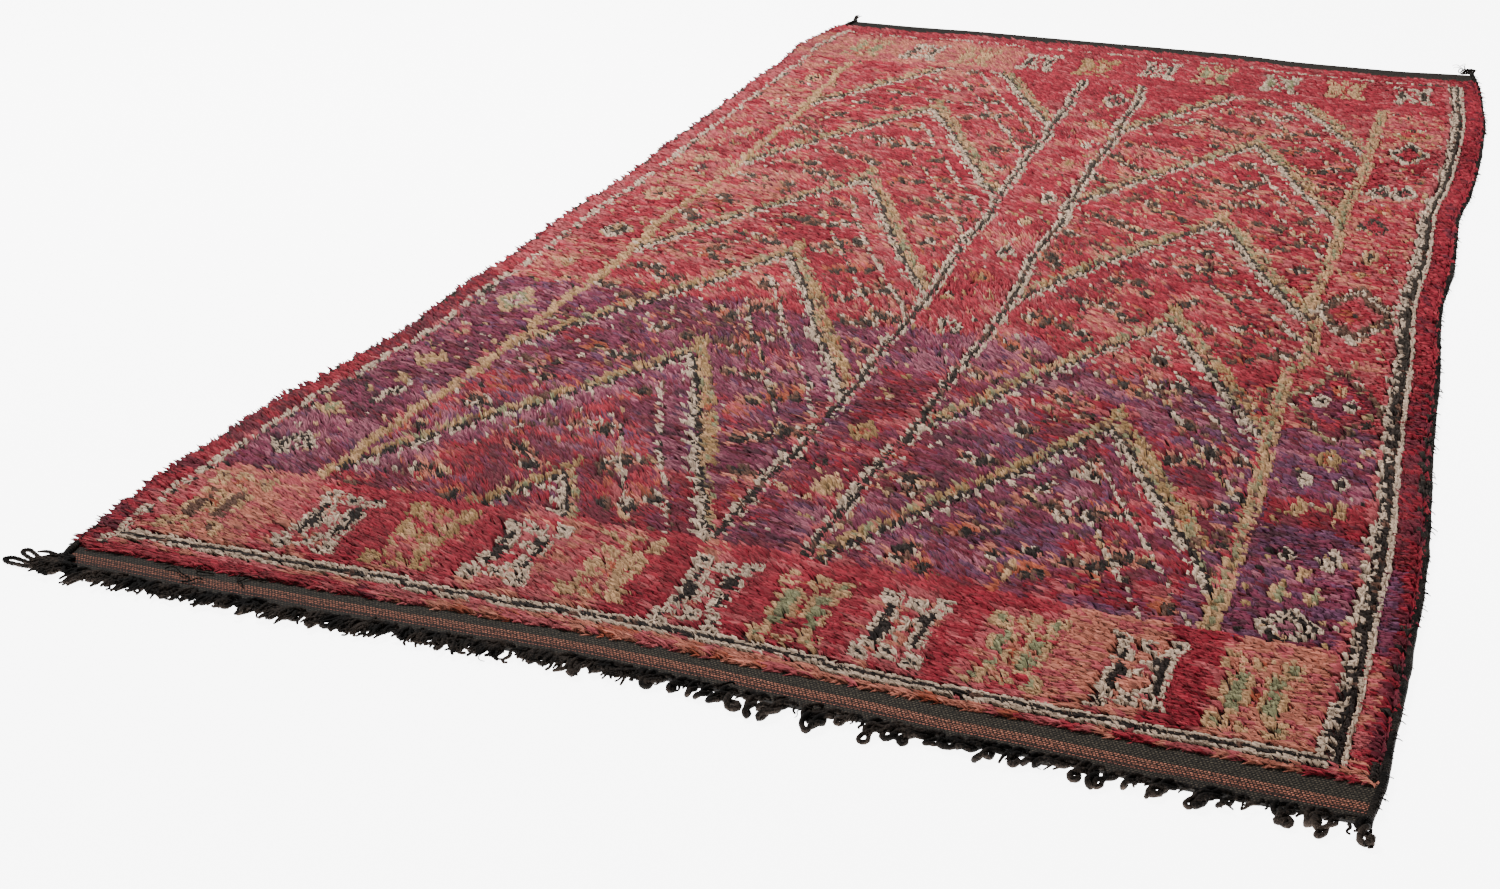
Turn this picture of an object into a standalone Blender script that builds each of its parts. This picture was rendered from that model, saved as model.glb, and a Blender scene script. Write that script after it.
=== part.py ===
"""A long hand-knotted wool rug, Middle Atlas work, lying flat on a floor.

The rug is woven in one piece: a thick knotted pile with a flatwoven band at each end. The warp ends
of the near band are knotted off in a short fringe, both long edges are overcast with dark goat hair,
and every corner keeps the yarn ends that were left when the rug came off the loom.

Metres, +Z up. The rug is drawn in its own cloth frame, x across from the middle and y along from the
near end, and is then moved so that its box stands centred on the origin with its underside at z = 0.
"""

import math
from collections import namedtuple

import bmesh
import bpy
from mathutils import Vector

NAME = "middle_atlas_rug"

# Driving sizes
RUG_LENGTH = 3.50  # near edge of the near flatwoven band to the far edge of the far one
PILE_TOP = 0.020  # height of the pile where it lies over
PILE_SHOULDER = 0.015  # height at its cut edges
PILE_SWELL = 0.0012  # how much the pile rises and falls over the field
FLATWEAVE = 0.005  # thickness of the flatwoven bands
NEAR_BAND = 0.073  # depth of the near flatwoven band
FAR_BAND = 0.088  # depth of the far one
SELVEDGE = 0.011  # diameter of the overcast edge cord
SELVEDGE_TURN = 0.009  # how far it runs on past the cloth at a corner
GAP = 0.0003  # running gap between pieces that touch

COLUMNS = 22  # steps across the rug
ROW_STEP = 0.085  # step along the pile
SHOULDER_RUN = 0.016  # how far in from a cut edge the pile reaches its full height

# The two long edges, outside the overcasting
Side = namedtuple("Side", "along left right")
SIDES = (
    Side(0.00, -0.838, 0.822),
    Side(0.07, -0.850, 0.832),
    Side(0.35, -0.860, 0.842),
    Side(0.60, -0.855, 0.847),
    Side(0.70, -0.838, 0.846),
    Side(0.95, -0.819, 0.838),
    Side(1.10, -0.829, 0.834),
    Side(1.30, -0.819, 0.832),
    Side(1.65, -0.829, 0.820),
    Side(1.90, -0.821, 0.831),
    Side(2.20, -0.834, 0.828),
    Side(2.45, -0.838, 0.848),
    Side(2.70, -0.846, 0.856),
    Side(2.95, -0.848, 0.858),
    Side(3.15, -0.864, 0.848),
    Side(3.30, -0.845, 0.838),
    Side(3.42, -0.832, 0.827),
    Side(3.52, -0.822, 0.812),
)

# How far the two short edges bow out of straight, share of the width from the left
Bow = namedtuple("Bow", "across near far")
BOWS = (
    Bow(0.00, 0.008, 0.008),
    Bow(0.10, 0.008, 0.004),
    Bow(0.22, 0.011, 0.014),
    Bow(0.35, 0.018, 0.008),
    Bow(0.46, 0.024, 0.006),
    Bow(0.62, 0.014, 0.001),
    Bow(0.76, 0.007, -0.030),
    Bow(0.88, 0.001, -0.034),
    Bow(1.00, 0.000, -0.012),
)

# The fringe: a heading strip with one tooth for each knotted bunch of warps
STRIP_DEPTH = 0.007
FRINGE_THICKNESS = 0.009
TEETH = 54
TOOTH_WIDTH = 0.011
SHORT_TOOTH = 0.016  # matted down on the left half
LONG_TOOTH = 0.034  # hanging free on the right half
TOOTH_VARIES = 0.35
TOOTH_LEANS = 0.007
CORNER_BUNCH = 0.040  # length of the long bunch beside the left corner

# The loose yarn at the corners: stations of a cord, each with its radius
Station = namedtuple("Station", "x y radius")
LOOP_YARN = 0.0022
CORNER_YARN = {
    "loop_near_left_upper": (
        Station(-0.8402, 0.0155, LOOP_YARN),
        Station(-0.8460, 0.0155, LOOP_YARN),
        Station(-0.8650, 0.0260, LOOP_YARN),
        Station(-0.8840, 0.0370, LOOP_YARN),
        Station(-0.8940, 0.0385, LOOP_YARN),
        Station(-0.8970, 0.0330, LOOP_YARN),
        Station(-0.8890, 0.0260, LOOP_YARN),
        Station(-0.8660, 0.0150, LOOP_YARN),
        Station(-0.8450, 0.0105, LOOP_YARN),
    ),
    "loop_near_left_lower": (
        Station(-0.8385, 0.0045, LOOP_YARN),
        Station(-0.8450, 0.0045, LOOP_YARN),
        Station(-0.8680, 0.0070, LOOP_YARN),
        Station(-0.8920, 0.0120, LOOP_YARN),
        Station(-0.9020, 0.0100, LOOP_YARN),
        Station(-0.9050, 0.0045, LOOP_YARN),
        Station(-0.8960, -0.0010, LOOP_YARN),
        Station(-0.8680, -0.0020, LOOP_YARN),
        Station(-0.8450, -0.0010, LOOP_YARN),
    ),
    "knot_near_right": (
        Station(0.8165, -0.0094, 0.0030),
        Station(0.8165, -0.0160, 0.0030),
        Station(0.8180, -0.0260, 0.0030),
        Station(0.8190, -0.0310, 0.0055),
        Station(0.8195, -0.0370, 0.0062),
        Station(0.8190, -0.0420, 0.0040),
    ),
    "tassel_far_left": (
        Station(-0.8170, 3.5174, 0.0050),
        Station(-0.8170, 3.5200, 0.0050),
        Station(-0.8180, 3.5270, 0.0080),
        Station(-0.8215, 3.5370, 0.0062),
        Station(-0.8255, 3.5500, 0.0035),
        Station(-0.8270, 3.5640, 0.0015),
    ),
    "tassel_far_right": (
        Station(0.8130, 3.4974, 0.0050),
        Station(0.8130, 3.5000, 0.0050),
        Station(0.8115, 3.5070, 0.0070),
        Station(0.8060, 3.5130, 0.0085),
        Station(0.7920, 3.5160, 0.0090),
        Station(0.7780, 3.5120, 0.0070),
        Station(0.7680, 3.5050, 0.0035),
    ),
}

WOOL_RED = (0.42, 0.06, 0.08, 1.0)
GOAT_HAIR = (0.018, 0.014, 0.012, 1.0)
WARP_YARN = (0.030, 0.024, 0.021, 1.0)


def clear_scene():
    for thing in list(bpy.data.objects):
        bpy.data.objects.remove(thing, do_unlink=True)


def new_collection(name):
    collection = bpy.data.collections.new(name)
    bpy.context.scene.collection.children.link(collection)
    return collection


def wool(name, colour, roughness=0.9):
    material = bpy.data.materials.new(name)
    material.use_nodes = True
    shader = material.node_tree.nodes["Principled BSDF"]
    shader.inputs["Base Color"].default_value = colour
    shader.inputs["Roughness"].default_value = roughness
    shader.inputs["Metallic"].default_value = 0.0
    return material


def read_off(rows, key, column, at):
    """The column's value at a place along a table, eased from row to row."""
    for low, high in zip(rows, rows[1:]):
        if at <= getattr(high, key) or high is rows[-1]:
            span = getattr(high, key) - getattr(low, key)
            share = min(max((at - getattr(low, key)) / span, 0.0), 1.0)
            ease = share * share * (3 - 2 * share)
            return getattr(low, column) * (1 - ease) + getattr(high, column) * ease


def edge_x(side, along):
    return read_off(SIDES, "along", side, along)


def cloth_y(across, down):
    """The place along the rug of a share of its length, between its two bowed ends."""
    near = read_off(BOWS, "across", "near", across)
    far = RUG_LENGTH + read_off(BOWS, "across", "far", across)
    return near + (far - near) * down


def body_point(across, down):
    """A point of the woven body, which ends inside the overcast edges."""
    y = cloth_y(across, down)
    left = edge_x("left", y) + SELVEDGE + GAP
    right = edge_x("right", y) - SELVEDGE - GAP
    return left + (right - left) * across, y


def columns_across():
    """Shares of the width: a close pair at each edge for the shoulder of the pile, then even steps."""
    shoulder = SHOULDER_RUN / (SIDES[0].right - SIDES[0].left)
    inner = [shoulder + (1 - 2 * shoulder) * step / COLUMNS for step in range(COLUMNS + 1)]
    return [0.0, *inner, 1.0]


def rows_along():
    """Shares of the length, each with the height of the cloth there."""
    pile_from, pile_to = NEAR_BAND, RUG_LENGTH - FAR_BAND
    rows = [(0.0, FLATWEAVE), (pile_from, FLATWEAVE), (pile_from + SHOULDER_RUN / 4, PILE_SHOULDER)]
    steps = round((pile_to - pile_from) / ROW_STEP)
    first, last = pile_from + SHOULDER_RUN, pile_to - SHOULDER_RUN
    rows += [(first + (last - first) * step / steps, PILE_TOP) for step in range(steps + 1)]
    rows += [(pile_to - SHOULDER_RUN / 4, PILE_SHOULDER), (pile_to, FLATWEAVE), (RUG_LENGTH, FLATWEAVE)]
    return [(y / RUG_LENGTH, height) for y, height in rows]


def cloth_height(x, y, row_height, on_edge):
    """The flatwoven bands are level. The pile swells a little and is lower along its cut edges."""
    if row_height < PILE_TOP:
        return row_height
    if on_edge:
        return PILE_SHOULDER
    return row_height + PILE_SWELL * math.sin(2.9 * x + 2.1 * y) * math.cos(1.7 * x - 3.3 * y)


def link_mesh(name, bm, material, collection):
    bmesh.ops.recalc_face_normals(bm, faces=bm.faces)
    mesh = bpy.data.meshes.new(name)
    bm.to_mesh(mesh)
    bm.free()
    mesh.materials.append(material)
    piece = bpy.data.objects.new(name, mesh)
    collection.objects.link(piece)
    return piece


def rug_body(material, collection):
    """The woven rug: a grid laid to the uneven outline and drawn down to a flat underside."""
    across, along = columns_across(), rows_along()
    bm = bmesh.new()
    bmesh.ops.create_grid(bm, x_segments=len(across) - 1, y_segments=len(along) - 1, size=1.0)
    for vert in bm.verts:
        column = round((vert.co.x + 1) / 2 * (len(across) - 1))
        down, row_height = along[round((vert.co.y + 1) / 2 * (len(along) - 1))]
        x, y = body_point(across[column], down)
        on_edge = column in (0, len(across) - 1)
        vert.co = (x, y, cloth_height(x, y, row_height, on_edge))
    drawn = bmesh.ops.extrude_face_region(bm, geom=bm.faces[:])["geom"]
    for item in drawn:
        if isinstance(item, bmesh.types.BMVert):
            item.co.z = 0.0
    underside = [item for item in drawn if isinstance(item, bmesh.types.BMFace)]
    bmesh.ops.dissolve_faces(bm, faces=underside)
    piece = link_mesh("rug_body", bm, material, collection)
    piece.data.shade_smooth()
    piece.data.set_sharp_from_angle(angle=math.radians(40))
    return piece


def add_curve(name, dimensions, points, material, collection, cyclic=False):
    curve = bpy.data.curves.new(name, "CURVE")
    curve.dimensions = dimensions
    spline = curve.splines.new("POLY")
    spline.points.add(len(points) - 1)
    for point, (place, radius) in zip(spline.points, points):
        point.co = (*place, 1.0)
        point.radius = radius
    spline.use_cyclic_u = cyclic
    curve.materials.append(material)
    piece = bpy.data.objects.new(name, curve)
    collection.objects.link(piece)
    return piece


def cord(name, route, material, collection):
    """A yarn cord lying on the floor along (x, y, radius) stations."""
    points = [((x, y, radius), radius) for x, y, radius in route]
    piece = add_curve(name, "3D", points, material, collection)
    piece.data.bevel_depth = 1.0
    piece.data.bevel_resolution = 2
    piece.data.use_fill_caps = True
    return piece


def selvedge(side, material, collection):
    """The edge cord of goat hair, overcast all along one long edge and a little past it."""
    inward = SELVEDGE / 2 * (1 if side == "left" else -1)
    share = 0.0 if side == "left" else 1.0
    places = [cloth_y(share, down) for down, _ in rows_along()]
    route = [(edge_x(side, y) + inward, y, SELVEDGE / 2) for y in places]
    (near_x, near_y, radius), (far_x, far_y, _) = route[0], route[-1]
    near_end = (near_x, near_y - SELVEDGE_TURN, radius)
    far_end = (far_x, far_y + SELVEDGE_TURN, radius)
    return cord(f"selvedge_{side}", [near_end, *route, far_end], material, collection)


def unevenness(number):
    """A fixed run of values between -1 and 1 that never falls into step with the teeth."""
    return math.sin(number * 2.399 + math.cos(number * 1.7))


def tooth(centre, base_y, length, lean, width):
    """One bunch of the fringe, drawn from right to left round its rounded tip."""
    half = width / 2
    tip_x, tip_y = centre + lean, base_y - length
    return (
        (centre + half, base_y),
        (tip_x + half, tip_y + half),
        (tip_x, tip_y),
        (tip_x - half, tip_y + half),
        (centre - half, base_y),
    )


def fringe_near(material, collection):
    """The knotted warp ends: one comb on the near edge, matted on the left and free on the right."""
    back = [body_point(across, 0.0) for across in columns_across()]
    outline = [(x, y - GAP) for x, y in back]
    width = back[-1][0] - back[0][0]
    for number in reversed(range(TEETH)):
        share = (number + 0.5) / TEETH
        centre = back[0][0] + width * share + 0.002 * unevenness(number + 5)
        base_y = read_off(BOWS, "across", "near", share) - STRIP_DEPTH
        length = SHORT_TOOTH + (LONG_TOOTH - SHORT_TOOTH) * min(max((share - 0.3) / 0.3, 0.0), 1.0)
        length *= 1 + TOOTH_VARIES * unevenness(number)
        lean = TOOTH_LEANS * unevenness(number + 9)
        if number == 1:
            length, lean = CORNER_BUNCH, -TOOTH_LEANS
        outline += tooth(centre, base_y, length, lean, TOOTH_WIDTH * (1 + 0.2 * unevenness(number + 3)))
    points = [((x, y, 0.0), 1.0) for x, y in outline]
    piece = add_curve("fringe_near", "2D", points, material, collection, cyclic=True)
    piece.data.fill_mode = "BOTH"
    piece.data.extrude = FRINGE_THICKNESS / 2
    piece.location.z = FRINGE_THICKNESS / 2
    return piece


def centre_on_origin(pieces):
    """Moves all the pieces together until the box around them stands centred on the origin."""
    bpy.context.view_layer.update()
    corners = [piece.matrix_world @ Vector(corner) for piece in pieces for corner in piece.bound_box]
    low = Vector(min(corner[axis] for corner in corners) for axis in range(3))
    high = Vector(max(corner[axis] for corner in corners) for axis in range(3))
    move = Vector((-(low.x + high.x) / 2, -(low.y + high.y) / 2, -low.z))
    for piece in pieces:
        piece.location += move


clear_scene()
rug = new_collection(NAME)
red_wool = wool("knotted_red_wool", WOOL_RED)
goat_hair = wool("black_goat_hair", GOAT_HAIR, 0.8)
warp_yarn = wool("dark_warp_yarn", WARP_YARN)

pieces = [
    rug_body(red_wool, rug),
    selvedge("left", goat_hair, rug),
    selvedge("right", goat_hair, rug),
    fringe_near(warp_yarn, rug),
]
pieces += [cord(name, route, warp_yarn, rug) for name, route in CORNER_YARN.items()]
centre_on_origin(pieces)
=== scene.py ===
"""A long Middle Atlas wool rug with a knotted pile, lying on a studio floor."""
import math
from itertools import product

import bpy
import numpy as np
from mathutils import Matrix, Vector


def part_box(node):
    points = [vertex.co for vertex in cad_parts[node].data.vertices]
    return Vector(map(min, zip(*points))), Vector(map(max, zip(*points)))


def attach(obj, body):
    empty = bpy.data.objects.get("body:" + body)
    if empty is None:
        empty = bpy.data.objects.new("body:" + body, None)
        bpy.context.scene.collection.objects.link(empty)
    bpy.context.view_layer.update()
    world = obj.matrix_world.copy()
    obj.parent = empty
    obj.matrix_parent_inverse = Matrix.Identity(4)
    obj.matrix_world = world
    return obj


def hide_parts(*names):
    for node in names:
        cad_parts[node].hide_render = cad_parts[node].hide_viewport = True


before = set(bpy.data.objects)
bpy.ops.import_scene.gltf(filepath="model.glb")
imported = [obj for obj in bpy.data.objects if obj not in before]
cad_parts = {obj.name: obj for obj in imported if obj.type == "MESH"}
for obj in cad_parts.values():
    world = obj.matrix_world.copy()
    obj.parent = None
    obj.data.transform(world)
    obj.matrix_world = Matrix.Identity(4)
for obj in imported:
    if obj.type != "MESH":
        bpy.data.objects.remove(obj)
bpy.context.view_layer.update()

# ------------------------------
# The loom's four edges. The woven body of the frame gives the line of each on the floor, and
# every yarn of the rug is placed by its share of the width and of the length between them.
END_BAND = 0.055  # the two ends bow by less than this

body_low, body_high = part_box("rug_body")
corner_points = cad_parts["rug_body"].data.vertices
on_floor = {tuple(round(c, 6) for c in v.co[:2]) for v in corner_points if v.co.z < 1e-4}
floor_line = np.array(sorted(on_floor))
on_near = floor_line[:, 1] < body_low.y + END_BAND
on_far = floor_line[:, 1] > body_high.y - END_BAND
near_line, far_line, long_lines = floor_line[on_near], floor_line[on_far], floor_line[~(on_near | on_far)]
edge_line = {}
for side, here, corner in (("left", long_lines[:, 0] < 0, 0), ("right", long_lines[:, 0] > 0, -1)):
    points = np.vstack([long_lines[here], near_line[corner], far_line[corner]])
    edge_line[side] = points[np.argsort(points[:, 1])]
RUG_LENGTH = float(far_line[0, 1] - near_line[0, 1])


def edge_x(side, y):
    """Where a long edge of the woven body is, at a place along the rug."""
    return np.interp(y, edge_line[side][:, 1], edge_line[side][:, 0])


def end_y(line, across):
    """Where an end of the woven body is, at a share of the width."""
    return np.interp(across, (line[:, 0] - line[0, 0]) / (line[-1, 0] - line[0, 0]), line[:, 1])


def on_rug(across, along):
    """The floor points at shares of the width and of the length."""
    y = end_y(near_line, across) * (1 - along) + end_y(far_line, across) * along
    return edge_x("left", y) * (1 - across) + edge_x("right", y) * across, y


# ------------------------------
# The camera: a normal lens at breast height, past the near right corner, looking down the rug.
CAMERA_RIGHT = 0.811  # from the middle of the near end
CAMERA_BACK = 1.925  # in front of it
CAMERA_HEIGHT = 1.235
CAMERA_HEADING = 19.4  # degrees to the left of straight along the rug
CAMERA_DIP = 23.9
CAMERA_ROLL = 0.55
LENS_MM = 49.4
SENSOR_MM = 36.0

near_middle = (near_line[0, 0] + near_line[-1, 0]) / 2
camera = bpy.data.objects.new("camera", bpy.data.cameras.new("camera"))
camera.data.lens = LENS_MM
camera.data.sensor_width = SENSOR_MM
camera.matrix_world = (
    Matrix.Translation((near_middle + CAMERA_RIGHT, near_line[-1, 1] - CAMERA_BACK, CAMERA_HEIGHT))
    @ Matrix.Rotation(math.radians(CAMERA_HEADING), 4, "Z")
    @ Matrix.Rotation(math.radians(90 - CAMERA_DIP), 4, "X")
    @ Matrix.Rotation(math.radians(CAMERA_ROLL), 4, "Z")
)
bpy.context.scene.collection.objects.link(camera)
bpy.context.scene.camera = camera

# ------------------------------
# The ground cloth: the rug's own weave, hard-spun wool warps packed with dark weft. It shows as
# a striped flatwoven band at each end, and between the bands it carries the knots.
CLOTH_TOP = 0.0048
CLOTH_THICKNESS = 0.0042
CLOTH_WIDTH = 1.68
CLOTH_COLUMNS = 84
WARP_PITCH = 0.0044  # drawn about a third coarser than the yarn, so that it shows
WEFT_PITCH = 0.0042
SHADOW = "#120f0d"  # between the yarns
NEAR_STRIPES = (  # metres from the end at which each starts
    (0.0, "#3f372e"), (0.0185, "#955849"), (0.0215, "#3d2c26"), (0.0240, "#a0624f"), (0.0330, "#4f352d"),
    (0.0350, "#a66b56"), (0.0405, "#4a3c31"), (0.0430, "#463f34"), (0.090, "#4a2424"),
)
FAR_STRIPES = ((0.0, "#3f3832"), (0.05, "#4b4037"), (0.085, "#4a2424"))


def linear(code):
    """A dyer's hex colour, turned to the linear values that shaders take."""
    channels = [int(code[at : at + 2], 16) / 255 for at in (1, 3, 5)]
    return (*[c / 12.92 if c <= 0.04045 else ((c + 0.055) / 1.055) ** 2.4 for c in channels], 1.0)


def add(tree, kind, *sockets, **named):
    """Adds a shader node, such as "Bump" or, with its operation, "Math ADD", or takes up one that is
    there. Values go to its sockets in order; the named ones go to a property or a socket, with _ for
    a space. Another node, or an output of one, is linked."""
    if isinstance(kind, str):
        kind, _, operation = kind.partition(" ")
        node = tree.nodes.new("ShaderNode" + kind)
        if operation:
            node.operation = operation
    else:
        node = kind
    for name, value in (*named.items(), *enumerate(sockets)):
        if isinstance(name, str) and hasattr(node, name):
            setattr(node, name, value)
            continue
        if isinstance(name, str):
            socket = next(one for one in node.inputs if name in (one.identifier, one.name.replace(" ", "_")))
        else:
            socket = node.inputs[name]
        if isinstance(value, bpy.types.Node):
            value = next(one for one in value.outputs if one.enabled)
        if isinstance(value, bpy.types.NodeSocket):
            tree.links.new(value, socket)
        else:
            socket.default_value = value
    return node


def new_material(name):
    material = bpy.data.materials.new(name)
    material.use_nodes = True
    return material, material.node_tree, material.node_tree.nodes["Principled BSDF"]


def stripes(tree, distance, colours):
    """A colour for each distance, from rows of the metres at which it starts and its hex code."""
    reach = colours[-1][0] * 1.05
    share = add(tree, "Math DIVIDE", distance, reach)
    ramp = add(tree, "ValToRGB", Fac=share)
    ramp.color_ramp.interpolation = "CONSTANT"
    for number, (start, code) in enumerate(colours):
        element = ramp.color_ramp.elements[number] if number < 2 else ramp.color_ramp.elements.new(0.9)
        element.position = start / reach
        element.color = linear(code)
    return ramp


def flatweave_material():
    """Hard-spun wool in plain weave: ribs of dark warp, with the weft showing between them as
    small flecks, so that it looks like dull ribbed cloth. The near-black of the ribs is painted
    shade between the yarns as well as the dark warp."""
    material, tree, shader = new_material("flatwoven_wool")
    weave = add(tree, "UVMap", uv_map="weave")
    place = add(tree, "SeparateXYZ", weave)
    across, along = place.outputs["X"], place.outputs["Y"]
    drift = add(tree, "TexNoise", Scale=7.0, Detail=2.0, Vector=weave)
    shift = add(tree, "Math MULTIPLY_ADD", drift, 0.008, -0.004)
    bent = add(tree, "Math ADD", along, shift)
    from_far = add(tree, "Math SUBTRACT", RUG_LENGTH, bent)
    near_weft = stripes(tree, bent, NEAR_STRIPES)
    far_weft = stripes(tree, from_far, FAR_STRIPES)
    is_far = add(tree, "Math GREATER_THAN", along, RUG_LENGTH / 2)
    weft = add(tree, "Mix", is_far, data_type="RGBA", A_Color=near_weft, B_Color=far_weft)
    # the weft is uneven, and darker towards the left
    uneven = add(tree, "TexNoise", Scale=300.0, Detail=2.0, Vector=weave)
    pepper = add(tree, "MapRange", uneven, 0.36, 0.64, 0.40, 1.75)
    left_darkening = add(tree, "MapRange", across, 0.0, 1.2, 0.50, 1.02)
    tone = add(tree, "Math MULTIPLY", pepper, left_darkening)
    flecks = add(tree, "VectorMath SCALE", weft, Scale=tone)
    # plain weave: a fleck of weft between two warps, half a warp over in every other row
    row = add(tree, "Math DIVIDE", along, WEFT_PITCH)
    row_number = add(tree, "Math FLOOR", row)
    warp = add(tree, "Math DIVIDE", across, WARP_PITCH)
    half_step = add(tree, "Math MULTIPLY_ADD", row_number, 0.5, warp)
    rib = add(tree, "Math PINGPONG", half_step, 0.5)
    pass_over = add(tree, "Math PINGPONG", row, 0.5)
    height = add(tree, "Math MULTIPLY", rib, pass_over)
    wobbly = add(tree, "Math MULTIPLY_ADD", uneven, 0.16, -0.08)
    fleck = add(tree, "Math ADD", height, wobbly)
    shown = add(tree, "MapRange", fleck, 0.03, 0.11)
    cloth = add(tree, "Mix", shown, data_type="RGBA", A_Color=linear(SHADOW), B_Color=flecks)
    bump = add(tree, "Bump", Strength=0.8, Distance=0.006, Height=height)
    add(tree, shader, Base_Color=cloth, Normal=bump, Roughness=0.9, Specular_IOR_Level=0.25)
    return material


bpy.ops.object.select_all(action="DESELECT")
cloth_rows = np.concatenate([np.linspace(0, 0.03, 10), np.linspace(0.05, 0.95, 40), np.linspace(0.968, 1, 12)])
bpy.ops.mesh.primitive_grid_add(x_subdivisions=CLOTH_COLUMNS, y_subdivisions=len(cloth_rows) - 1, size=1)
ground_cloth = bpy.context.object
ground_cloth.name = ground_cloth.data.name = "ground_cloth"
flat = np.empty((len(ground_cloth.data.vertices), 3))
ground_cloth.data.vertices.foreach_get("co", flat.ravel())
across = flat[:, 0] + 0.5
along = np.interp(flat[:, 1] + 0.5, np.linspace(0, 1, len(cloth_rows)), cloth_rows)
flat[:, 0], flat[:, 1] = on_rug(across, along)
flat[:, 2] = CLOTH_TOP
ground_cloth.data.vertices.foreach_set("co", flat.ravel())
corners = np.empty(len(ground_cloth.data.loops), np.int32)
ground_cloth.data.loops.foreach_get("vertex_index", corners)
weave_map = ground_cloth.data.uv_layers[0]
weave_map.name = "weave"  # metres across and along
weave_metres = np.stack([across * CLOTH_WIDTH, along * RUG_LENGTH], 1)[corners].astype(np.float32)
weave_map.uv.foreach_set("vector", weave_metres.ravel())
thickness = ground_cloth.modifiers.new("thickness", "SOLIDIFY")
thickness.thickness = CLOTH_THICKNESS
thickness.offset = -1.0
bpy.ops.object.modifier_apply(modifier="thickness")
bpy.ops.object.shade_smooth_by_angle(angle=math.radians(50))
ground_cloth.data.materials.append(flatweave_material())
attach(ground_cloth, "root")
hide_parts("rug_body")

# ------------------------------
# The dyed wool and its chart: which colour each knot is. The weaver counts columns from the left
# edge and rows from the near end; a column is about 8.6 mm wide and a row 10.5 mm deep.
COLUMNS, ROWS = 196, 318
WIDTH = 1.70
NEAR_BAND = 0.062  # metres of flatweave before the first row of knots, in the middle of the end
FAR_BAND = 0.108
WOOL = {
    "crimson": "#851729", "red": "#992635", "rose": "#a84b50", "salmon": "#b86d5a", "wine": "#631a2b",
    "purple": "#702a42", "mauve": "#90505f", "plum": "#4a1e2e", "violet": "#60344f", "ivory": "#c6ac95",
    "black": "#191412", "brown": "#5e4034", "tan": "#b88f68", "gold": "#9c7950", "green": "#83815f",
    "khaki": "#94825f", "orange": "#a44f38",
}
DYE = {name: number for number, name in enumerate(WOOL)}
LETTERS = {  # how the figures' charts name the wools
    "b": "brown", "c": "crimson", "d": "gold", "e": "rose", "g": "green", "i": "ivory", "k": "black", "m": "mauve",
    "o": "orange", "p": "purple", "r": "red", "s": "salmon", "w": "wine", "y": "tan",
}
BORDER_ROWS = 26  # of the near border
FIELD_END = 3.03  # metres along, where the far border starts
SIDE_BAND = 0.878  # share of the width, where the band beside the right stack starts
RIGHT_GUARD, GUARD_END = 188, 191  # its first and last columns
LAST_GUARD_ROW = 311

row_step = (RUG_LENGTH - NEAR_BAND - FAR_BAND) / ROWS
row, column = np.mgrid[0:ROWS, 0:COLUMNS]
share = (column + 0.5) / COLUMNS
across_m = share * WIDTH
near_band = np.interp(share, [0.0, 0.5, 1.0], [0.059, NEAR_BAND, 0.076])
along_m = near_band + (row + 0.5) * (RUG_LENGTH - near_band - FAR_BAND) / ROWS


def cloudy(x, y, size, seed):
    """Smooth noise from -1 to 1, in clouds of a size in metres."""
    table = np.random.default_rng(seed).uniform(-1, 1, (256, 256))
    u, v = np.asarray(x) / size + 60.0, np.asarray(y) / size + 60.0
    i, j = np.floor(u).astype(int), np.floor(v).astype(int)
    fu, fv = u - i, v - j
    fu, fv = fu * fu * (3 - 2 * fu), fv * fv * (3 - 2 * fv)
    low = table[i % 256, j % 256] * (1 - fu) + table[(i + 1) % 256, j % 256] * fu
    high = table[i % 256, (j + 1) % 256] * (1 - fu) + table[(i + 1) % 256, (j + 1) % 256] * fu
    return low * (1 - fv) + high * fv


def clouds(size, seed):
    """The same noise at each knot of the chart."""
    return cloudy(across_m, along_m, size, seed)


def yarn_lots(seed, stay):
    """A random number for each knot, the same for a few knots in a row as one length of yarn is."""
    random = np.random.default_rng(seed)
    lot = random.random((ROWS, COLUMNS))
    for at in range(1, COLUMNS):
        same = random.random(ROWS) < stay
        lot[same, at] = lot[same, at - 1]
    return lot


def mixed(lot, **parts):
    """The dye of each knot where wools are mixed in these parts."""
    edges = np.cumsum(list(parts.values())) / sum(parts.values())
    picked = np.minimum(np.searchsorted(edges, lot), len(parts) - 1)
    return np.array([DYE[name] for name in parts])[picked]


def lay(where, wool, **parts):
    """Knots one wool over a part of the chart, or mixes wools there in these parts, by their lots."""
    if parts:
        wool = mixed(wool, **parts)
    chart[where] = wool[where] if isinstance(wool, np.ndarray) else DYE[wool]


def within(values, low, high):
    return (values >= low) & (values < high)


lot = yarn_lots(7, 0.45)
spot = yarn_lots(8, 0.15)
small_knots = yarn_lots(50, 0.1)
drift = 0.30 * clouds(0.11, 42) + 0.40 * clouds(0.04, 43) + (lot - 0.5)
blend = np.argsort(np.argsort(drift.ravel())).reshape(drift.shape) / drift.size
chart = mixed(blend, crimson=26, red=44, rose=24, salmon=6)

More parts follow.
